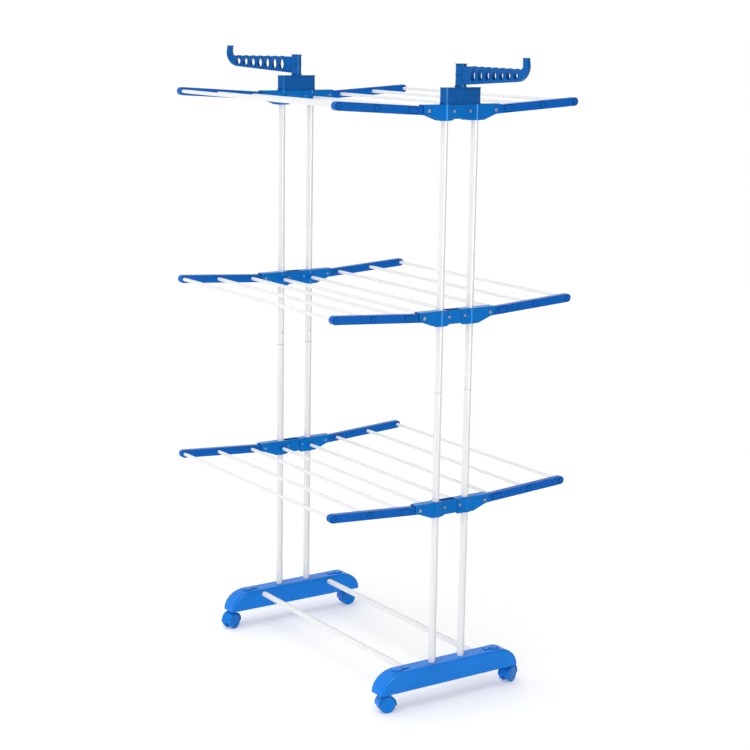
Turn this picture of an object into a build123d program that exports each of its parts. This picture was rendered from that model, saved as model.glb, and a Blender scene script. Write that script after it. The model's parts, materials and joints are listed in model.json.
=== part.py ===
from build123d import *
from math import cos, radians, sin
import os

# Three-tier clothes drying rack on castors. Two end frames stand at x = -385 and x = +385.
# Each tier has two fixed rods between the end frames and two wings that fold down.
# X runs along the rods, Y runs across the rack, Z is up, and the origin is on the floor
# under the middle of the rack. All sizes are in millimetres.

os.makedirs("parts", exist_ok=True)

SIDES = {"left": -1, "right": 1}
EDGES = {"front": -1, "back": 1}
TIERS = {"low": 503.0, "mid": 1002.0, "top": 1517.0}

# Overall layout
frame_x = 385.0
post_y = 47.0
running_gap = 0.05
seat_gap = 0.1
end_gap = 0.2
rib_half = 1.2

# Upright tubes, each in two lengths with a sleeve inside the joint
post_d = 19.0
post_wall = 1.0
post_foot = 64.0
post_joint = 830.0
post_head = 1588.0
joiner_below = 45.0
joiner_above = 60.0
pip_z = 865.0
pip_r = 2.0

# Base beams and the two tubes between them
beam_length = 446.0
beam_width = 52.0
beam_bottom = 52.0
beam_top = 106.0
beam_end_run = 66.0
beam_corner = 6.0
beam_wall = 2.6
beam_soft = 7.0
dome_y = 158.0
dome_r = 15.0
dome_rise = 3.6
bump_y = 134.0
bump_size = (16.0, 14.0, 2.2)
tube_y = 114.0
tube_z = 91.0
tube_d = 16.0
tube_wall = 1.0
tube_seat = 24.0
base_screw_r = 2.0
base_screw_head = (4.0, 2.4)
base_screw_low = 70.0
rib_foot = 58.0
dome_soft = 3.0
socket_wall = 3.0

# Tier brackets: channels that hold the uprights, the fixed rods and the wing pivots
bracket_end = 118.0
bracket_h = 40.0
channel_w = 25.0
channel_wall = 2.2
web = 2.5
collar_r = 15.0
end_rise = 19.0
arch_rise = 4.0
seam_y = 12.0
seam_gap = 0.6
tongue_drop = 4.0
tongue_wall = 2.0
rod_rise = 18.8
rod_boss_r = 7.0
rod_boss_reach = 21.0
rod_seat = 11.0
pivot_y = 104.0
pivot_rise = 24.8
pivot_r = 3.0
pivot_head_r = 4.4
pivot_ring_r = 6.0
clamp_front_y = -26.5
clamp_back_y = 23.0
clamp_rise = 23.0
clamp_r = 2.0
clamp_head_r = 3.5
clamp_ring_r = 5.0
clamp_boss_r = 4.4
head_play = 0.3
ring_proud = 1.0
edge_soft = 1.0
corner_soft = 3.0
seat_depth = 1.9

# Drying rods and wing arms
rod_d = 9.5
rod_wall = 0.7
arm_rods = (43.0, 153.0, 263.0)
arm_h = 22.0
arm_t = 17.0
arm_wall = 2.2
arm_tilt = 3.5
arm_boss = 8.5
arm_soft = 1.5
arm_seat = 11.5
mark_r = 7.4
mark_pad = 26.0
mark_proud = 0.6
mark_groove = 1.3
mark_groove_depth = 0.9

# Top blocks, hanger pins and hanger arms
block_z = TIERS["top"] + bracket_h
block_h = 41.0
block_length = 119.0
block_width = 25.0
block_wall = 2.5
block_lip = 1.0
block_lip_h = 3.0
pin_r = 7.0
pin_foot = 1566.0
pin_head_z = 1653.5
pin_head_h = 2.5
pin_head_r = 15.5
sleeve_r = 13.5
sleeve_flare = 1.5
sleeve_ring = 1.2
sleeve_ring_z = 1628.0
hanger_t = 11.5
hanger_soft = 1.2
hanger_root = 10.0
hanger_low = (1604.0, 1618.0)
hanger_high = (1650.0, 1648.0)
hanger_bend = (190.0, 200.0)
hook_in = 209.0
hook_out = 225.0
hook_top = 1676.0
hook_knee = 34.0
slot_first = 46.0
slot_pitch = 23.4
slot_count = 7
slot_rx = 7.2
slot_margin = 6.2
slot_rim = 1.8
scallop_reach = 3.4
scallop_rise = 0.8
scallop_proud = 0.4
slot_rim_proud = 0.6

# Castors: a stem, a hood that swivels on it, an axle and a pair of wheels
stem_y = 204.0
stem_r = 3.5
stem_foot = 26.0
stem_head = 72.0
wheel_r = 22.5
wheel_in = 6.0
wheel_out = 16.5
castor_trail = 10.0
axle_r = 2.5
fender_gap = 0.9
fender_wall = 1.6
fork_half = 5.5
fork_r = 17.0
fork_top = 35.5
wheel_soft = 2.5
axle_half = 14.5
stem_boss_r = 8.0
CASTOR_HEADINGS = {
    ("left", "front"): -68.0,
    ("left", "back"): -95.0,
    ("right", "front"): 76.0,
    ("right", "back"): 112.0,
}

# Directions in which the hanger arms point, in degrees from +X
HANGER_HEADINGS = {"left": 210.0, "right": 9.0}


def save(piece, name):
    """Label a finished piece and write it to its own file."""
    piece.part.label = name
    export_step(piece.part, f"parts/{name}.step")


def bar_x(x_from, x_to, y, z, radius, mode=Mode.ADD):
    """Round bar, or bore, along X."""
    with Locations(((x_from + x_to) / 2, y, z)):
        Cylinder(radius, abs(x_to - x_from), rotation=(0, 90, 0), mode=mode)


def bar_z(x, y, z_from, z_to, radius, mode=Mode.ADD):
    """Round bar, or bore, along Z."""
    with Locations((x, y, (z_from + z_to) / 2)):
        Cylinder(radius, z_to - z_from, mode=mode)


def brick(x, y_from, y_to, z_from, z_to, half_width, mode=Mode.ADD):
    """Rectangular block centred on x."""
    with Locations((x, (y_from + y_to) / 2, (z_from + z_to) / 2)):
        Box(2 * half_width, y_to - y_from, z_to - z_from, mode=mode)


# ---------------------------------------------------------------- base


def beam_hull(side, inset):
    """Beam form with rounded ends, drawn in by inset on the top, ends and sides."""
    half_length = beam_length / 2 - inset
    rise = beam_top - beam_bottom - inset
    run = beam_end_run - inset
    shoulder = half_length - run
    with BuildPart() as hull:
        with BuildSketch(Plane.YZ.offset(side * frame_x)):
            with BuildLine():
                Line((-half_length, beam_bottom), (half_length, beam_bottom))
                EllipticalCenterArc((shoulder, beam_bottom), run, rise, arc_size=90)
                Line((shoulder, beam_bottom + rise), (-shoulder, beam_bottom + rise))
                EllipticalCenterArc((-shoulder, beam_bottom), run, rise, start_angle=90, arc_size=90)
            make_face()
        extrude(amount=beam_width / 2 - inset, both=True)
        side_rims = hull.faces().filter_by(Axis.X).edges().sort_by(Axis.Z)[2:]
        fillet(side_rims, radius=beam_soft)
        with BuildSketch(Plane.XY.offset(beam_bottom)):
            with Locations((side * frame_x, 0)):
                RectangleRounded(beam_width - 2 * inset, 2 * half_length, beam_corner - inset)
        extrude(amount=rise + 1, mode=Mode.INTERSECT)
    return hull.part


def base_beam(name, side):
    """Open-bottomed beam with sockets for the uprights, base tubes and castor stems."""
    x = side * frame_x
    outer = beam_hull(side, 0)
    inner = beam_hull(side, beam_wall)
    inner_half = beam_width / 2 - beam_wall
    with BuildPart() as beam:
        add(outer)
        add(inner, mode=Mode.SUBTRACT)
        for edge in (-1, 1):
            # Domed caps and their side bumps
            bar_z(x, edge * dome_y, beam_top - 4, beam_top + dome_rise, dome_r)
            brick(
                x,
                edge * bump_y - bump_size[0] / 2,
                edge * bump_y + bump_size[0] / 2,
                beam_top - 2,
                beam_top + bump_size[2],
                bump_size[1] / 2,
            )
            # Upright socket
            socket_r = post_d / 2 + socket_wall
            bar_z(x, edge * post_y, post_foot - socket_wall, beam_top, socket_r)
            brick(
                x, edge * post_y - rib_half, edge * post_y + rib_half,
                rib_foot, beam_top - 2, inner_half + 1,
            )
            bar_z(x, edge * post_y, post_foot, beam_top + 5, post_d / 2 + seat_gap, Mode.SUBTRACT)
            # Castor socket with a cross rib
            bar_z(x, edge * stem_y, beam_bottom, stem_head + 4, stem_boss_r)
            brick(
                x, edge * stem_y - rib_half, edge * stem_y + rib_half,
                rib_foot, stem_head + 2, inner_half + 1,
            )
            bar_z(x, edge * stem_y, beam_bottom - 1, stem_head + 0.5, stem_r + seat_gap, Mode.SUBTRACT)
            # Socket for a base tube, open towards the middle of the rack
            mouth = x - side * beam_width / 2
            bar_x(
                mouth, mouth + side * (tube_seat + socket_wall + 1),
                edge * tube_y, tube_z, tube_d / 2 + socket_wall,
            )
            bar_x(
                mouth - side,
                mouth + side * (tube_seat + 1),
                edge * tube_y,
                tube_z,
                tube_d / 2 + seat_gap,
                Mode.SUBTRACT,
            )
            screw_x = mouth + side * tube_seat / 2
            bar_z(screw_x, edge * tube_y, base_screw_low, tube_z, base_screw_r + seat_gap, Mode.SUBTRACT)
        fillet(beam.edges().filter_by(GeomType.CIRCLE).group_by(Axis.Z)[-1], radius=dome_soft)
    save(beam, name)


def base_tubes():
    """Two tubes that tie the base beams together."""
    half = frame_x - beam_width / 2 + tube_seat
    with BuildPart() as tubes:
        for edge in (-1, 1):
            bar_x(-half, half, edge * tube_y, tube_z, tube_d / 2)
            bar_x(-half, half, edge * tube_y, tube_z, tube_d / 2 - tube_wall, Mode.SUBTRACT)
            for side in (-1, 1):
                screw_x = side * (frame_x - beam_width / 2 + tube_seat / 2)
                bar_z(screw_x, edge * tube_y, tube_z - 9, tube_z, base_screw_r + seat_gap, Mode.SUBTRACT)
    save(tubes, "base_tubes")


def base_screws():
    """Screws that go up through the beams' tube sockets into the base tubes."""
    boss_low = tube_z - tube_d / 2 - socket_wall
    head_r, head_h = base_screw_head
    with BuildPart() as screws:
        for side in (-1, 1):
            for edge in (-1, 1):
                screw_x = side * (frame_x - beam_width / 2 + tube_seat / 2)
                bar_z(screw_x, edge * tube_y, boss_low - head_h, boss_low - seat_gap, head_r)
                bar_z(screw_x, edge * tube_y, boss_low - 2 * seat_gap, tube_z - 3, base_screw_r)
    save(screws, "base_screws")


# ---------------------------------------------------------------- uprights


def upright_pair(name, side, z_low, z_high, has_pip_hole):
    """The two tubes of one end frame between two heights."""
    x = side * frame_x
    with BuildPart() as pair:
        for edge in (-1, 1):
            bar_z(x, edge * post_y, z_low, z_high, post_d / 2)
            bar_z(x, edge * post_y, z_low, z_high, post_d / 2 - post_wall, Mode.SUBTRACT)
            if has_pip_hole:
                bar_x(x, x - side * post_d, edge * post_y, pip_z, pip_r + seat_gap, Mode.SUBTRACT)
    save(pair, name)


def upright_joiners():
    """Sleeves inside the upright joints, each with a pip that snaps into the upper tube."""
    sleeve_outer = post_d / 2 - post_wall - running_gap
    with BuildPart() as joiners:
        for side in (-1, 1):
            x = side * frame_x
            for edge in (-1, 1):
                y = edge * post_y
                bar_z(x, y, post_joint - joiner_below, post_joint + joiner_above, sleeve_outer)
                bar_x(x - side * 8, x - side * 9.1, y, pip_z, pip_r)
                bar_z(
                    x, y, post_joint - joiner_below, post_joint + joiner_above,
                    sleeve_outer - 1, Mode.SUBTRACT,
                )
    save(joiners, "upright_joiners")


# ---------------------------------------------------------------- tier brackets


def screw_ring(x, side, y, z, radius):
    """Raised ring on a bracket's outer face."""
    face = x + side * channel_w / 2
    bar_x(face - side, face + side * ring_proud, y, z, radius)


def screw_bore(x, side, y, z, head_r, shank_r):
    """Counterbore from the outer face and a shank bore through both walls."""
    face = x + side * channel_w / 2
    seat = face - side * (seat_depth - ring_proud)
    bar_x(seat, face + side * 3, y, z, head_r + head_play, Mode.SUBTRACT)
    bar_x(x - channel_w, x + channel_w, y, z, shank_r + seat_gap, Mode.SUBTRACT)


def bracket_main(name, side, z0):
    """Front bracket: arm channel, upright collar, rod socket and half of the bridge."""
    x = side * frame_x
    wall_in = channel_w / 2 - channel_wall
    with BuildPart() as main:
        with BuildSketch(Plane.YZ.offset(x)) as outline:
            with BuildLine():
                Polyline(
                    (-bracket_end, z0 + end_rise),
                    (-bracket_end, z0 + bracket_h),
                    (seam_y, z0 + bracket_h),
                    (seam_y, z0 + arch_rise),
                    (-post_y + collar_r + 6, z0 + arch_rise),
                    (-post_y + collar_r, z0),
                    (-post_y - collar_r - 5, z0),
                    close=True,
                )
            make_face()
            fillet(outline.vertices().group_by(Axis.Y)[0], radius=corner_soft)
        extrude(amount=channel_w / 2, both=True)
        fillet(main.faces(Select.LAST).filter_by(Axis.X).edges(), radius=edge_soft)
        bar_z(x, -post_y, z0, z0 + bracket_h, collar_r)
        bar_x(x, x - side * rod_boss_reach, -post_y, z0 + rod_rise, rod_boss_r)
        screw_ring(x, side, -pivot_y, z0 + pivot_rise, pivot_ring_r)
        screw_ring(x, side, clamp_front_y, z0 + clamp_rise, clamp_ring_r)
        # Arm channel, open below and at the end
        brick(
            x, -bracket_end - 1, -post_y - collar_r - 2,
            z0 - 1, z0 + bracket_h - web, wall_in, Mode.SUBTRACT,
        )
        # Bridge, open above and below
        brick(x, -post_y + collar_r, seam_y + 1, z0 - 1, z0 + bracket_h + 1, wall_in, Mode.SUBTRACT)
        bar_z(x, -post_y, z0 - 1, z0 + bracket_h + 1, post_d / 2 + seat_gap, Mode.SUBTRACT)
        bar_x(
            x - side * (rod_seat - end_gap), x - side * (rod_boss_reach + 1),
            -post_y, z0 + rod_rise, rod_d / 2 + seat_gap, Mode.SUBTRACT,
        )
        screw_bore(x, side, -pivot_y, z0 + pivot_rise, pivot_head_r, pivot_r)
        screw_bore(x, side, clamp_front_y, z0 + clamp_rise, clamp_head_r, clamp_r)
    save(main, name)


def bracket_ends(name, z0):
    """Back brackets of both end frames, each with a tongue that fits in the front bracket."""
    wall_in = channel_w / 2 - channel_wall
    tongue_half = wall_in - 0.2
    tongue_y = -post_y + collar_r + 0.4
    start_y = seam_y + seam_gap
    with BuildPart() as ends:
        for side in (-1, 1):
            x = side * frame_x
            with BuildSketch(Plane.YZ.offset(x)) as outline:
                with BuildLine():
                    Polyline(
                        (bracket_end, z0 + end_rise),
                        (bracket_end, z0 + bracket_h),
                        (start_y, z0 + bracket_h),
                        (start_y, z0),
                        (post_y + collar_r + 5, z0),
                        close=True,
                    )
                make_face()
                fillet(outline.vertices().group_by(Axis.Y)[0], radius=corner_soft)
            extrude(amount=channel_w / 2, both=True)
            fillet(ends.faces(Select.LAST).filter_by(Axis.X).edges(), radius=edge_soft)
            bar_z(x, post_y, z0, z0 + bracket_h, collar_r)
            bar_x(x, x - side * rod_boss_reach, post_y, z0 + rod_rise, rod_boss_r)
            screw_ring(x, side, pivot_y, z0 + pivot_rise, pivot_ring_r)
            screw_ring(x, side, clamp_back_y, z0 + clamp_rise, clamp_ring_r)
            brick(
                x, post_y + collar_r + 2, bracket_end + 1,
                z0 - 1, z0 + bracket_h - web, wall_in, Mode.SUBTRACT,
            )
            brick(
                x, start_y - 1, post_y - collar_r,
                z0 - 1, z0 + bracket_h - web, wall_in, Mode.SUBTRACT,
            )
            # Tongue and the cross bosses that the clamp screws pass through
            tongue_top = z0 + bracket_h - tongue_drop
            brick(x, start_y, start_y + 6, z0 + 6, tongue_top, wall_in + 0.4)
            brick(x, tongue_y, start_y + 6, z0 + 6, tongue_top, tongue_half)
            brick(
                x, tongue_y - 1, start_y + 7, z0 + 5,
                tongue_top - tongue_wall, tongue_half - tongue_wall, Mode.SUBTRACT,
            )
            bar_x(x - tongue_half, x + tongue_half, clamp_front_y, z0 + clamp_rise, clamp_boss_r)
            bar_x(x - wall_in - 0.5, x + wall_in + 0.5, clamp_back_y, z0 + clamp_rise, clamp_boss_r)
            bar_z(x, post_y, z0 - 1, z0 + bracket_h + 1, post_d / 2 + seat_gap, Mode.SUBTRACT)
            bar_x(
                x - side * (rod_seat - end_gap), x - side * (rod_boss_reach + 1),
                post_y, z0 + rod_rise, rod_d / 2 + seat_gap, Mode.SUBTRACT,
            )
            screw_bore(x, side, pivot_y, z0 + pivot_rise, pivot_head_r, pivot_r)
            screw_bore(x, side, clamp_back_y, z0 + clamp_rise, clamp_head_r, clamp_r)
            bar_x(
                x - wall_in, x + wall_in, clamp_front_y, z0 + clamp_rise,
                clamp_r + seat_gap, Mode.SUBTRACT,
            )
    save(ends, name)


def screw(x, side, y, z, head_r, shank_r):
    """Round-headed screw with a cross recess, seated in a bracket's outer face."""
    face = x + side * channel_w / 2
    seat = face - side * (seat_depth - ring_proud - 0.05)
    head = face + side * (ring_proud - 0.3)
    far_wall = x - side * channel_w / 2
    bar_x(seat, head, y, z, head_r)
    bar_x(seat + side * 0.2, far_wall, y, z, shank_r)
    with Locations((head, y, z)):
        Box(1.6, 1.0, 1.3 * head_r, mode=Mode.SUBTRACT)
        Box(1.6, 1.3 * head_r, 1.0, mode=Mode.SUBTRACT)


def pivot_screws():
    """The shouldered screws that the wing arms turn on."""
    with BuildPart() as screws:
        for z0 in TIERS.values():
            for side in (-1, 1):
                for edge in (-1, 1):
                    screw(side * frame_x, side, edge * pivot_y, z0 + pivot_rise, pivot_head_r, pivot_r)
    save(screws, "pivot_screws")


def clamp_screws():
    """The screws beside the upright collars."""
    with BuildPart() as screws:
        for z0 in TIERS.values():
            for side in (-1, 1):
                for y in (clamp_front_y, clamp_back_y):
                    screw(side * frame_x, side, y, z0 + clamp_rise, clamp_head_r, clamp_r)
    save(screws, "clamp_screws")


# ---------------------------------------------------------------- rods and wings


def fixed_rods(name, z0):
    """Two tubes between the end frames of one tier."""
    half = frame_x - rod_seat
    with BuildPart() as rods:
        for edge in (-1, 1):
            bar_x(-half, half, edge * post_y, z0 + rod_rise, rod_d / 2)
            bar_x(-half, half, edge * post_y, z0 + rod_rise, rod_d / 2 - rod_wall, Mode.SUBTRACT)
    save(rods, name)


def arm_point(edge, z0, along):
    """Y and Z of a point on an arm's centre line, measured from its pivot."""
    tilt = radians(arm_tilt)
    return edge * (pivot_y + along * cos(tilt)), z0 + pivot_rise + along * sin(tilt)


def wing_rods(name, edge, z0):
    """The three tubes of one wing."""
    half = frame_x - arm_t / 2 + arm_seat
    with BuildPart() as rods:
        for along in arm_rods:
            y, z = arm_point(edge, z0, along)
            bar_x(-half, half, y, z, rod_d / 2)
            bar_x(-half, half, y, z, rod_d / 2 - rod_wall, Mode.SUBTRACT)
    save(rods, name)


def mark_outlines(plane, grow):
    """Outlines of the marks on a wing arm: a long pad at the first rod, discs at the others."""
    with BuildSketch(plane) as marks:
        with Locations((arm_rods[0], 0)):
            RectangleRounded(mark_pad + 2 * grow, 2 * (mark_r + grow), 3 + grow)
        with Locations((arm_rods[1], 0), (arm_rods[2], 0)):
            Circle(mark_r + grow)
    return marks.sketch


def wing_arm(name, side, edge, z0):
    """Arm at one end of a wing: open below, bossed at the pivot and at each rod."""
    x = side * frame_x
    tilt = radians(arm_tilt)
    arm_plane = Plane(
        origin=(x, edge * pivot_y, z0 + pivot_rise),
        x_dir=(0, edge * cos(tilt), sin(tilt)),
        z_dir=(edge, 0, 0),
    )
    outward = side * edge
    reach = arm_rods[-1]
    with BuildPart() as arm:
        with BuildSketch(arm_plane):
            with Locations((reach / 2, 0)):
                SlotCenterToCenter(reach, arm_h)
        extrude(amount=arm_t / 2, both=True)
        fillet(arm.faces().filter_by(Axis.X).edges(), radius=arm_soft)
        # Marks on the outer face, each raised inside a shallow groove
        outer_face = arm_plane.offset(outward * arm_t / 2)
        groove_floor = outer_face.offset(-outward * mark_groove_depth)
        pockets = mark_outlines(outer_face, mark_groove)
        extrude(pockets, amount=-outward * mark_groove_depth, mode=Mode.SUBTRACT)
        extrude(mark_outlines(groove_floor, 0), amount=outward * (mark_groove_depth + mark_proud))
        # Hollows between the bosses, open below
        with BuildSketch(arm_plane):
            for start, stop in zip((2.5, *arm_rods[:2]), arm_rods):
                with Locations(((start + stop) / 2, -arm_wall)):
                    Rectangle(stop - start - 2 * arm_boss, arm_h)
        extrude(amount=arm_t / 2 - arm_wall, both=True, mode=Mode.SUBTRACT)
        for along in arm_rods:
            y, z = arm_point(edge, z0, along)
            inner_face = x - side * arm_t / 2
            bar_x(
                inner_face - side, inner_face + side * (arm_seat + end_gap),
                y, z, rod_d / 2 + seat_gap, Mode.SUBTRACT,
            )
        bar_x(
            x - arm_t, x + arm_t, edge * pivot_y, z0 + pivot_rise,
            pivot_r + running_gap, Mode.SUBTRACT,
        )
    save(arm, name)


# ---------------------------------------------------------------- hanger arms


def top_block(name, side):
    """Cap over the tops of one frame's uprights, with the socket of the hanger pin."""
    x = side * frame_x
    top = block_z + block_h
    with BuildPart() as block:
        with BuildSketch(Plane.XY.offset(block_z)):
            with Locations((x, 0)):
                SlotOverall(block_length, block_width, rotation=90)
        extrude(amount=block_h)
        with BuildSketch(Plane.XY.offset(top - block_lip_h), Plane.XY.offset(block_z)):
            with Locations((x, 0)):
                SlotOverall(block_length + 2 * block_lip, block_width + 2 * block_lip, rotation=90)
        extrude(amount=block_lip_h)
        with BuildSketch(Plane.XY.offset(block_z)):
            with Locations((x, 0)):
                SlotOverall(block_length - 2 * block_wall, block_width - 2 * block_wall, rotation=90)
        extrude(amount=block_h - block_wall, mode=Mode.SUBTRACT)
        for y in (-post_y, post_y):
            bar_z(x, y, block_z, top - 1, post_d / 2 + 2)
            bar_z(x, y, block_z - 1, post_head + 0.3, post_d / 2 + seat_gap, Mode.SUBTRACT)
        bar_z(x, 0, pin_foot - 3, top - 1, pin_r + 3)
        brick(x, -rib_half, rib_half, pin_foot, top - 1, block_width / 2 - 1)
        bar_z(x, 0, pin_foot - 0.3, top + 1, pin_r + seat_gap, Mode.SUBTRACT)
    save(block, name)


def hanger_pins():
    """Headed pins that stand in the top blocks and carry the hanger arms."""
    with BuildPart() as pins:
        for side in (-1, 1):
            bar_z(side * frame_x, 0, pin_foot, pin_head_z + 1, pin_r)
            bar_z(side * frame_x, 0, pin_head_z, pin_head_z + pin_head_h, pin_head_r)
        fillet(pins.edges().filter_by(GeomType.CIRCLE).group_by(Axis.Z)[-1], radius=0.8)
    save(pins, "hanger_pins")


def hanger_edges(along):
    """Lower and upper edge heights of a hanger arm at a distance from its pin."""
    low = hanger_low[0] + (hanger_low[1] - hanger_low[0]) * (
        (along - hanger_root) / (hanger_bend[0] - hanger_root)
    )
    high = hanger_high[0] + (hanger_high[1] - hanger_high[0]) * (
        (along - hanger_root) / (hanger_bend[1] - hanger_root)
    )
    return low, high


def hanger_arm(name, side, heading):
    """Slotted arm with an upturned hook, on a sleeve that turns about the hanger pin."""
    x = side * frame_x
    block_top = block_z + block_h
    ahead = Vector(cos(radians(heading)), sin(radians(heading)), 0)
    across = Vector(ahead.Y, -ahead.X, 0)
    arm_plane = Plane(origin=(x, 0, 0), x_dir=ahead, z_dir=across)
    face_axis = Axis((0, 0, 0), across)
    root_low = (hanger_root, hanger_low[0])
    root_high = (hanger_root, hanger_high[0])
    bend_low = (hanger_bend[0], hanger_low[1])
    bend_high = (hanger_bend[1], hanger_high[1])
    knee_high = (hook_in, hanger_high[1] + hook_in - hanger_bend[1])
    knee_low = (hook_out, hanger_low[1] + hook_knee)
    with BuildPart() as hanger:
        with BuildSketch(arm_plane):
            with BuildLine():
                Line(root_low, bend_low)
                TangentArc(bend_low, knee_low, tangent=(175, 14))
                Line(knee_low, (hook_out - 2, hook_top))
                Line((hook_out - 2, hook_top), (hook_in - 1, hook_top))
                Line((hook_in - 1, hook_top), knee_high)
                TangentArc(knee_high, bend_high, tangent=(0, -1))
                Line(bend_high, root_high)
                Line(root_high, root_low)
            make_face()
        extrude(amount=hanger_t / 2, both=True)
        fillet(hanger.faces(Select.LAST).filter_by(face_axis).edges(), radius=hanger_soft)
        # Scallops along the upper edge and a rim round each slot
        for step in range(slot_count):
            along = slot_first + slot_pitch * step
            low, high = hanger_edges(along)
            middle = (low + high) / 2
            slot_ry = (high - low) / 2 - slot_margin
            with BuildSketch(arm_plane):
                with Locations((along, middle + scallop_rise)):
                    Ellipse(slot_rx + scallop_reach, (high - low) / 2 + scallop_rise)
            extrude(amount=hanger_t / 2 + scallop_proud, both=True)
            with BuildSketch(arm_plane):
                with Locations((along, middle)):
                    Ellipse(slot_rx + slot_rim, slot_ry + slot_rim)
            extrude(amount=hanger_t / 2 + slot_rim_proud, both=True)
            with BuildSketch(arm_plane):
                with Locations((along, middle)):
                    Ellipse(slot_rx, slot_ry)
            extrude(amount=hanger_t, both=True, mode=Mode.SUBTRACT)
        # Sleeve round the pin, with a foot flare and a middle ring
        sleeve_low = block_top + 0.3
        sleeve_high = pin_head_z - 0.3
        bar_z(x, 0, sleeve_low, sleeve_high, sleeve_r)
        bar_z(x, 0, sleeve_low, sleeve_low + 4, sleeve_r + sleeve_flare)
        bar_z(x, 0, sleeve_ring_z, sleeve_ring_z + 2, sleeve_r + sleeve_ring)
        bar_z(x, 0, sleeve_low - 1, sleeve_high + 1, pin_r + running_gap, Mode.SUBTRACT)
    save(hanger, name)


# ---------------------------------------------------------------- castors


def castor_frame(side_name, edge_name):
    """Stem position, rolling direction and axle plane of one castor."""
    x = SIDES[side_name] * frame_x
    y = EDGES[edge_name] * stem_y
    heading = radians(CASTOR_HEADINGS[side_name, edge_name])
    ahead = Vector(cos(heading), sin(heading), 0)
    axle = Vector(sin(heading), -cos(heading), 0)
    wheel_centre = Vector(x, y, wheel_r) + ahead * castor_trail
    return x, y, Plane(origin=wheel_centre, x_dir=ahead, z_dir=axle)


def castor_stems():
    """Steel stems pressed up into the beams; the hoods turn on them."""
    with BuildPart() as stems:
        for side in (-1, 1):
            for edge in (-1, 1):
                bar_z(side * frame_x, edge * stem_y, stem_foot, stem_head, stem_r)
    save(stems, "castor_stems")


def castor_hood(name, side_name, edge_name):
    """Hood with a fender over both wheels, a middle fork and the stem's bearing."""
    x, y, axle_plane = castor_frame(side_name, edge_name)
    fender_in = wheel_r + fender_gap
    fender_out = fender_in + fender_wall
    with BuildPart() as hood:
        with BuildSketch(axle_plane):
            Circle(fender_out)
            Circle(fender_in, mode=Mode.SUBTRACT)
            with Locations((0, -fender_out)):
                Rectangle(3 * fender_out, 2 * fender_out - 6, mode=Mode.SUBTRACT)
        extrude(amount=wheel_out, both=True)
        with BuildSketch(axle_plane):
            Circle(fork_r)
            with Locations((-castor_trail / 2, fender_in / 2)):
                Rectangle(castor_trail + 12, fender_in)
            Circle(fender_in + 0.5, mode=Mode.INTERSECT)
        extrude(amount=fork_half, both=True)
        bar_z(x, y, fork_top, beam_bottom - 0.3, stem_boss_r)
        # Room for the two wheels
        with BuildSketch(axle_plane.offset(fork_half), axle_plane.offset(-wheel_out - 1)):
            Circle(fender_in)
        extrude(amount=wheel_out + 1 - fork_half, mode=Mode.SUBTRACT)
        bar_z(x, y, stem_foot - 0.5, beam_bottom + 1, stem_r + running_gap, Mode.SUBTRACT)
        with BuildSketch(axle_plane):
            Circle(axle_r + running_gap)
        extrude(amount=wheel_out, both=True, mode=Mode.SUBTRACT)
    save(hood, name)


def castor_axle(name, side_name, edge_name):
    """Steel axle that carries both wheels."""
    _, _, axle_plane = castor_frame(side_name, edge_name)
    with BuildPart() as axle:
        with BuildSketch(axle_plane):
            Circle(axle_r)
        extrude(amount=axle_half, both=True)
    save(axle, name)


def castor_wheels(name, side_name, edge_name):
    """Twin wheels, one each side of the fork."""
    _, _, axle_plane = castor_frame(side_name, edge_name)
    with BuildPart() as wheels:
        with BuildSketch(axle_plane.offset(wheel_in), axle_plane.offset(-wheel_out)):
            Circle(wheel_r)
        extrude(amount=wheel_out - wheel_in)
        rims = wheels.edges().filter_by(GeomType.CIRCLE)
        fillet(rims, radius=wheel_soft)
        with BuildSketch(axle_plane):
            Circle(axle_r)
        extrude(amount=axle_half + seat_gap, both=True, mode=Mode.SUBTRACT)
    save(wheels, name)


# ---------------------------------------------------------------- assembly

base_tubes()
base_screws()
upright_joiners()
pivot_screws()
clamp_screws()
hanger_pins()
castor_stems()

for side_name, side in SIDES.items():
    base_beam(f"base_beam_{side_name}", side)
    upright_pair(f"lower_uprights_{side_name}", side, post_foot, post_joint, False)
    upright_pair(f"upper_uprights_{side_name}", side, post_joint, post_head, True)
    top_block(f"top_block_{side_name}", side)
    hanger_arm(f"hanger_arm_{side_name}", side, HANGER_HEADINGS[side_name])
    for edge_name in EDGES:
        place = f"{side_name}_{edge_name}"
        castor_hood(f"castor_hood_{place}", side_name, edge_name)
        castor_axle(f"castor_axle_{place}", side_name, edge_name)
        castor_wheels(f"castor_wheels_{place}", side_name, edge_name)

for tier, z0 in TIERS.items():
    fixed_rods(f"fixed_rods_{tier}", z0)
    bracket_ends(f"bracket_ends_{tier}", z0)
    for side_name, side in SIDES.items():
        bracket_main(f"bracket_{tier}_{side_name}", side, z0)
    for edge_name, edge in EDGES.items():
        wing_rods(f"wing_rods_{tier}_{edge_name}", edge, z0)
        for side_name, side in SIDES.items():
            wing_arm(f"wing_arm_{tier}_{edge_name}_{side_name}", side, edge, z0)
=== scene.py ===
import json
from math import cos, pi, radians, sin

import bpy
from mathutils import Matrix, Vector


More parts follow.
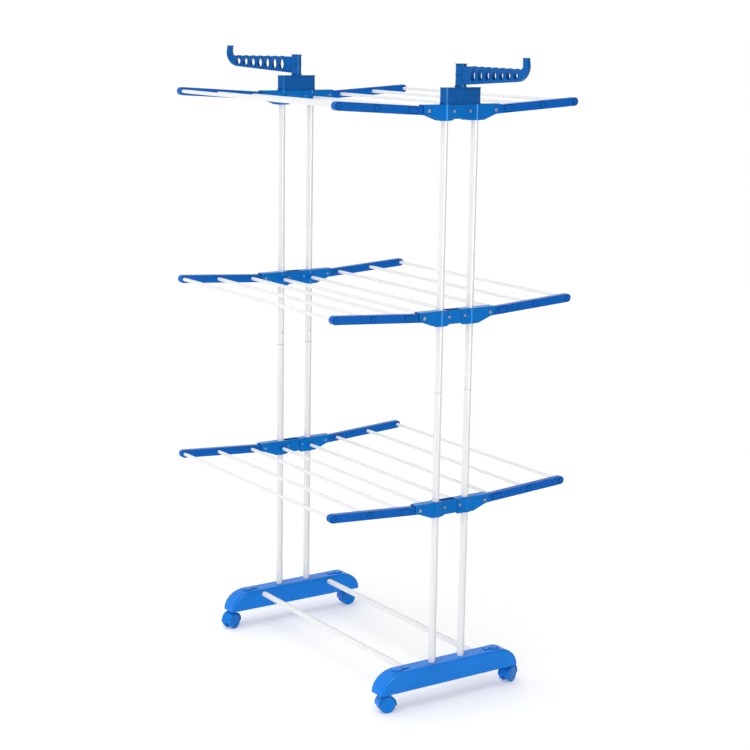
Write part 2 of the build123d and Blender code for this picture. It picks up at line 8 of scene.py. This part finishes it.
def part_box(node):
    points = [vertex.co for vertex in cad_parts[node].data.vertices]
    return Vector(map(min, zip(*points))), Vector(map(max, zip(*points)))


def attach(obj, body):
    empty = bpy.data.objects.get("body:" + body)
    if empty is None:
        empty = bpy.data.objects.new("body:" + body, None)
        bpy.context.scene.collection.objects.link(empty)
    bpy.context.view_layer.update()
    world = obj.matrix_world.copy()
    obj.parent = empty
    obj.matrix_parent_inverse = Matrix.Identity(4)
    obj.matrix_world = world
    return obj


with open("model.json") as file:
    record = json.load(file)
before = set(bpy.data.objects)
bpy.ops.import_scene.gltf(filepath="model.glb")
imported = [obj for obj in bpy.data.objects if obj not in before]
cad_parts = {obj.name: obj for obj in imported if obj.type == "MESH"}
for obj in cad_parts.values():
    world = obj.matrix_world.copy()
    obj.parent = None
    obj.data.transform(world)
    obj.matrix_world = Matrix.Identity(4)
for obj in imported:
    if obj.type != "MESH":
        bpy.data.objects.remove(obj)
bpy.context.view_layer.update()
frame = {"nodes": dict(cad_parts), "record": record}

scene = bpy.context.scene

# Metres, degrees and watts throughout, unless a name says otherwise.

# ---------------------------------------------------------------- camera

VIEW_AZIMUTH = 55.4964
VIEW_ELEVATION = 11.5476
VIEW_ROLL = 0.9465
VIEW_DISTANCE = 4.8632
VIEW_TARGET = Vector((0.0313, 0.0, 0.8075))
LENS_MM = 85.647
SENSOR_MM = 36.0


def make_camera():
    azimuth, elevation, roll = map(radians, (VIEW_AZIMUTH, VIEW_ELEVATION, VIEW_ROLL))
    back = Vector((
        sin(azimuth) * cos(elevation),
        -cos(azimuth) * cos(elevation),
        sin(elevation),
    ))
    right = Vector((cos(azimuth), sin(azimuth), 0.0))
    up = back.cross(right)
    x_axis = right * cos(roll) + up * sin(roll)
    y_axis = up * cos(roll) - right * sin(roll)
    camera = bpy.data.objects.new("camera", bpy.data.cameras.new("camera"))
    scene.collection.objects.link(camera)
    camera.data.lens = LENS_MM
    camera.data.sensor_width = SENSOR_MM
    place = VIEW_TARGET + back * VIEW_DISTANCE
    turn = Matrix((x_axis, y_axis, back)).transposed().to_4x4()
    camera.matrix_world = Matrix.Translation(place) @ turn
    scene.camera = camera


# ---------------------------------------------------------------- lamps

LAMP_TARGET = (0.0, 0.0, 0.85)

# The sun's strength is in watts per square metre.
SUN_STRENGTH = 0.85
SUN_SPREAD = 50.0
SUN_FROM = (0.35, -0.5, 2.4)

FRONT_PLACE = (3.0, -3.9, 2.2)
FRONT_SIZE = (1.6, 1.6)
FRONT_POWER = 18.0

STRIP_PLACE = (4.0, 0.5, 1.3)
STRIP_SIZE = (0.55, 2.6)
STRIP_POWER = 360.0


def aim(lamp, place, target):
    """Put a lamp at place with its -Z axis towards target."""
    away = (Vector(place) - Vector(target)).to_track_quat("Z", "Y")
    lamp.matrix_world = Matrix.Translation(Vector(place)) @ away.to_matrix().to_4x4()


def make_sun():
    """A soft distant lamp, high up and a little to the camera's side of the rack."""
    data = bpy.data.lights.new("key", "SUN")
    data.energy = SUN_STRENGTH
    data.angle = radians(SUN_SPREAD)
    lamp = bpy.data.objects.new("key", data)
    scene.collection.objects.link(lamp)
    aim(lamp, SUN_FROM, (0.0, 0.0, 0.0))


def make_softbox(name, place, size, power):
    """Rectangular lamp, size wide and high, that faces the middle of the rack."""
    data = bpy.data.lights.new(name, "AREA")
    data.shape = "RECTANGLE"
    data.size, data.size_y = size
    data.energy = power
    lamp = bpy.data.objects.new(name, data)
    scene.collection.objects.link(lamp)
    aim(lamp, place, LAMP_TARGET)
    return lamp


# ---------------------------------------------------------------- surroundings

# Strengths of the white surroundings, by the height of the direction (its Z).
HORIZON_STRENGTH = 1.02
HORIZON_HEIGHT = 0.25
ZENITH_STRENGTH = 0.74
ZENITH_HEIGHT = 0.75

# The flank is a direction. The shade sets in where a direction's dot product with it
# passes the start, and is full at the end.
FLANK_SIDE = (0.566, 0.824, 0.0)
FLANK_START = 0.25
FLANK_END = 0.55
FLANK_SHADE = 0.03

WHITE = (1.0, 1.0, 1.0, 1.0)

FLOOR_REACH = 80.0
FLOOR_CLOUD = 0.6
FLOOR_DARK = (0.89, 0.89, 0.89, 1)
FLOOR_LIGHT = (0.92, 0.92, 0.92, 1)
FLOOR_ROUGH = 0.9
FLOOR_GLOW = 0.24


def sky_strength(tree):
    """White down to the horizon, a little less overhead, and darker on one flank.

    The dark flank draws the thin grey edge that sets white tubes off a white backdrop.
    It only lights the rack: the backdrop itself is seen plain white all round.
    """
    place = tree.nodes.new("ShaderNodeTexCoord")
    split = tree.nodes.new("ShaderNodeSeparateXYZ")
    tree.links.new(place.outputs["Generated"], split.inputs["Vector"])
    height = map_range(
        tree, split.outputs["Z"],
        (HORIZON_HEIGHT, ZENITH_HEIGHT), (HORIZON_STRENGTH, ZENITH_STRENGTH),
    )
    side = tree.nodes.new("ShaderNodeVectorMath")
    side.operation = "DOT_PRODUCT"
    side.inputs[1].default_value = FLANK_SIDE
    tree.links.new(place.outputs["Generated"], side.inputs[0])
    flank = map_range(
        tree, side.outputs["Value"], (FLANK_START, FLANK_END), (1.0, FLANK_SHADE),
    )
    both = tree.nodes.new("ShaderNodeMath")
    both.operation = "MULTIPLY"
    tree.links.new(height, both.inputs[0])
    tree.links.new(flank, both.inputs[1])
    ray = tree.nodes.new("ShaderNodeLightPath")
    seen = tree.nodes.new("ShaderNodeMix")
    seen.inputs["B"].default_value = HORIZON_STRENGTH
    tree.links.new(ray.outputs["Is Camera Ray"], seen.inputs["Factor"])
    tree.links.new(both.outputs["Value"], seen.inputs["A"])
    return seen.outputs["Result"]


def make_world():
    world = bpy.data.worlds.new("studio")
    world.use_nodes = True
    tree = world.node_tree
    background = tree.nodes["Background"]
    background.inputs["Color"].default_value = WHITE
    tree.links.new(sky_strength(tree), background.inputs["Strength"])
    scene.world = world
    scene.view_settings.view_transform = "Standard"


def floor_material():
    """Matt white that glows a little, so that the open floor is as white as the backdrop."""
    material, tree, shader = new_material("studio_floor")
    clouds = ramp(tree, noise(tree, FLOOR_CLOUD), FLOOR_DARK, FLOOR_LIGHT)
    tree.links.new(clouds, shader.inputs["Base Color"])
    shader.inputs["Roughness"].default_value = FLOOR_ROUGH
    shader.inputs["Emission Color"].default_value = WHITE
    shader.inputs["Emission Strength"].default_value = FLOOR_GLOW
    return material


def make_floor():
    reach = FLOOR_REACH
    mesh = bpy.data.meshes.new("floor")
    mesh.from_pydata(
        [(-reach, -reach, 0), (reach, -reach, 0), (reach, reach, 0), (-reach, reach, 0)],
        [],
        [(0, 1, 2, 3)],
    )
    floor = bpy.data.objects.new("floor", mesh)
    scene.collection.objects.link(floor)
    mesh.materials.append(floor_material())


def make_studio():
    """White surroundings, a pale floor, a soft key, a front box and a strip for gloss."""
    make_world()
    make_sun()
    make_softbox("front", FRONT_PLACE, FRONT_SIZE, FRONT_POWER)
    strip = make_softbox("strip", STRIP_PLACE, STRIP_SIZE, STRIP_POWER)
    strip.visible_diffuse = False
    make_floor()


# ---------------------------------------------------------------- shader parts

RAMP_START = 0.3
RAMP_END = 0.7


def new_material(name):
    material = bpy.data.materials.new(name)
    material.use_nodes = True
    shader = material.node_tree.nodes["Principled BSDF"]
    return material, material.node_tree, shader


def noise(tree, scale, detail=2.0):
    place = tree.nodes.new("ShaderNodeTexCoord")
    texture = tree.nodes.new("ShaderNodeTexNoise")
    texture.inputs["Scale"].default_value = scale
    texture.inputs["Detail"].default_value = detail
    tree.links.new(place.outputs["Object"], texture.inputs["Vector"])
    return texture.outputs["Fac"]


def ramp(tree, source, low, high):
    """Colour from low to high as the source rises through its middle part."""
    node = tree.nodes.new("ShaderNodeValToRGB")
    first, last = node.color_ramp.elements
    first.position, first.color = RAMP_START, low
    last.position, last.color = RAMP_END, high
    tree.links.new(source, node.inputs["Fac"])
    return node.outputs["Color"]


def map_range(tree, source, taken, given):
    """The source, with the pair of values taken mapped to the pair given."""
    node = tree.nodes.new("ShaderNodeMapRange")
    for end, value in zip(("From Min", "From Max", "To Min", "To Max"), (*taken, *given)):
        node.inputs[end].default_value = value
    tree.links.new(source, node.inputs["Value"])
    return node.outputs["Result"]


def roughen(tree, shader, scale, low, high):
    """Uneven gloss."""
    gloss = map_range(tree, noise(tree, scale), (0.0, 1.0), (low, high))
    tree.links.new(gloss, shader.inputs["Roughness"])


def bumps(tree, shader, height, distance, strength):
    bump = tree.nodes.new("ShaderNodeBump")
    bump.inputs["Distance"].default_value = distance
    bump.inputs["Strength"].default_value = strength
    tree.links.new(height, bump.inputs["Height"])
    tree.links.new(bump.outputs["Normal"], shader.inputs["Normal"])


def shade(colour, factor):
    return (*(min(1.0, c * factor) for c in colour), 1.0)


# ---------------------------------------------------------------- materials

# Painted shade in recesses: how near a facing wall has to be to darken a face, how much of
# the view around is open (0 none, 1 all) where the painted shade is full and where it ends,
# and the colour's share that is left in full painted shade.
PAINTED_SHADE_REACH = 0.004
PAINTED_SHADE_CLOSED = 0.35
PAINTED_SHADE_OPEN = 0.9
PAINTED_SHADE_LEFT = 0.15
PAINTED_SHADE_SAMPLES = 8

PLASTIC_DRIFT = 9.0
PLASTIC_DARK = 0.93
PLASTIC_LIGHT = 1.07
PLASTIC_ROUGH = 0.25
PLASTIC_GLOSS = 60.0
PLASTIC_SMOOTHER = 0.05
PLASTIC_ROUGHER = 0.07
PLASTIC_SPECULAR = 0.14
PLASTIC_TINT = (0.25, 0.7, 1.0, 1.0)
GRAIN_SCALE = 900.0
GRAIN_DETAIL = 3.0
GRAIN_HEIGHT = 0.0002
GRAIN_STRENGTH = 0.1

PAINT_DRIFT = 6.0
PAINT_DARK = (0.82, 0.823, 0.826, 1)
PAINT_LIGHT = (0.86, 0.862, 0.864, 1)
PAINT_GLOSS = 80.0
PAINT_SMOOTH = 0.24
PAINT_ROUGH = 0.32
PAINT_SPECULAR = 0.35
PEEL_SCALE = 420.0
PEEL_HEIGHT = 0.0002
PEEL_STRENGTH = 0.04

METAL_DRIFT = 150.0
METAL_DARK = 0.85
METAL_LIGHT = 1.1
METAL_GLOSS = 700.0
METAL_SMOOTHER = 0.06
METAL_ROUGHER = 0.1
POLISH_SCALE = 1500.0
POLISH_HEIGHT = 0.0001
POLISH_STRENGTH = 0.2


def painted_recess_shade(tree, colour):
    """The colour with painted shade: darker in grooves and along joints, where nearby walls
    occlude it.
    """
    occlusion = tree.nodes.new("ShaderNodeAmbientOcclusion")
    occlusion.samples = PAINTED_SHADE_SAMPLES
    occlusion.inputs["Distance"].default_value = PAINTED_SHADE_REACH
    painted_shade = map_range(
        tree, occlusion.outputs["AO"], (PAINTED_SHADE_CLOSED, PAINTED_SHADE_OPEN), (PAINTED_SHADE_LEFT, 1.0),
    )
    scale = tree.nodes.new("ShaderNodeVectorMath")
    scale.operation = "SCALE"
    tree.links.new(colour, scale.inputs[0])
    tree.links.new(painted_shade, scale.inputs["Scale"])
    return scale.outputs["Vector"]


def plastic(name, colour, rough=PLASTIC_ROUGH):
    """Moulded plastic: slight colour drift, painted shade in grooves and joints, uneven
    gloss and a fine moulded grain.
    """
    material, tree, shader = new_material(name)
    dark, light = shade(colour, PLASTIC_DARK), shade(colour, PLASTIC_LIGHT)
    drift = ramp(tree, noise(tree, PLASTIC_DRIFT), dark, light)
    # The base colour carries painted shade in grooves and along joints.
    tree.links.new(painted_recess_shade(tree, drift), shader.inputs["Base Color"])
    roughen(tree, shader, PLASTIC_GLOSS, rough - PLASTIC_SMOOTHER, rough + PLASTIC_ROUGHER)
    shader.inputs["Specular IOR Level"].default_value = PLASTIC_SPECULAR
    shader.inputs["Specular Tint"].default_value = PLASTIC_TINT
    grain = noise(tree, GRAIN_SCALE, GRAIN_DETAIL)
    bumps(tree, shader, grain, GRAIN_HEIGHT, GRAIN_STRENGTH)
    return material


def white_paint(name):
    """Glossy powder coat on steel tube, with its faint orange peel."""
    material, tree, shader = new_material(name)
    drift = ramp(tree, noise(tree, PAINT_DRIFT), PAINT_DARK, PAINT_LIGHT)
    tree.links.new(drift, shader.inputs["Base Color"])
    roughen(tree, shader, PAINT_GLOSS, PAINT_SMOOTH, PAINT_ROUGH)
    shader.inputs["Specular IOR Level"].default_value = PAINT_SPECULAR
    bumps(tree, shader, noise(tree, PEEL_SCALE), PEEL_HEIGHT, PEEL_STRENGTH)
    return material


def metal(name, colour, rough):
    """Plated steel with fine uneven polish."""
    material, tree, shader = new_material(name)
    dark, light = shade(colour, METAL_DARK), shade(colour, METAL_LIGHT)
    drift = ramp(tree, noise(tree, METAL_DRIFT), dark, light)
    tree.links.new(drift, shader.inputs["Base Color"])
    roughen(tree, shader, METAL_GLOSS, rough - METAL_SMOOTHER, rough + METAL_ROUGHER)
    shader.inputs["Metallic"].default_value = 1.0
    bumps(tree, shader, noise(tree, POLISH_SCALE), POLISH_HEIGHT, POLISH_STRENGTH)
    return material


MATERIALS = {
    # Dark grey for the rings at the joints of the uprights: a real joint, with its shadow
    # line painted in.
    "seam_shadow": plastic("seam_shadow", (0.16, 0.17, 0.18), 0.6),
    "base_plastic": plastic("base_plastic", (0.014, 0.222, 0.785)),
    "bracket_plastic": plastic("bracket_plastic", (0.001, 0.170, 0.600)),
    "arm_plastic": plastic("arm_plastic", (0.002, 0.120, 0.525)),
    "hanger_plastic": plastic("hanger_plastic", (0.006, 0.110, 0.405)),
    "castor_plastic": plastic("castor_plastic", (0.012, 0.205, 0.72)),
    "white_tube": white_paint("white_tube"),
    # Darker than bare steel: partly the steel's own colour, partly painted shade in the
    # spring-button holes of the uprights.
    "bare_steel": metal("bare_steel", (0.13, 0.13, 0.14), 0.4),
    "screw_steel": metal("screw_steel", (0.24, 0.25, 0.27), 0.26),
}


def finish_nodes():
    """Give every carried-over CAD node its material."""
    for part in frame["record"]["subparts"]:
        node = frame["nodes"][part["node"]]
        node.data.materials.clear()
        node.data.materials.append(MATERIALS[part["material_slot"]])


# ---------------------------------------------------------------- upright seams and their painted shadow lines

SEAM_HALF = 0.0006
SEAM_PROUD = 0.00012
SEAM_SINK = 0.0004
SEAM_STEPS = 48


def ring(name, place, radius):
    """Low ring about Z that just stands out of a tube."""
    profile = ((-SEAM_SINK, -SEAM_HALF), (SEAM_PROUD, -SEAM_HALF / 2),
               (SEAM_PROUD, SEAM_HALF / 2), (-SEAM_SINK, SEAM_HALF))
    verts = []
    for step in range(SEAM_STEPS):
        turn = 2 * pi * step / SEAM_STEPS
        for out, rise in profile:
            reach = radius + out
            verts.append((
                place[0] + reach * cos(turn), place[1] + reach * sin(turn), place[2] + rise,
            ))
    count = len(profile)
    faces = []
    for step in range(SEAM_STEPS):
        here, ahead = step * count, (step + 1) % SEAM_STEPS * count
        for corner in range(count):
            after = (corner + 1) % count
            faces.append((here + corner, ahead + corner, ahead + after, here + after))
    mesh = bpy.data.meshes.new(name)
    mesh.from_pydata(verts, [], faces)
    mesh.polygons.foreach_set("use_smooth", [True] * len(faces))
    piece = bpy.data.objects.new(name, mesh)
    scene.collection.objects.link(piece)
    return piece


def post_seams():
    """Thin dark rings that paint the shadow lines where the lower and upper lengths of the
    uprights meet.
    """
    foot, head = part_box("lower_uprights_right")
    tube_r = (head[0] - foot[0]) / 2
    for side in ("left", "right"):
        low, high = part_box(f"lower_uprights_{side}")
        x = (low[0] + high[0]) / 2
        for edge, y in (("front", low[1] + tube_r), ("back", high[1] - tube_r)):
            piece = ring(f"post_seam_{side}_{edge}", (x, y, head[2]), tube_r)
            # The dark ring paints the joint's shadow line.
            piece.data.materials.append(MATERIALS["seam_shadow"])
            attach(piece, "frame")


# ---------------------------------------------------------------- build

make_camera()
make_studio()
finish_nodes()
post_seams()
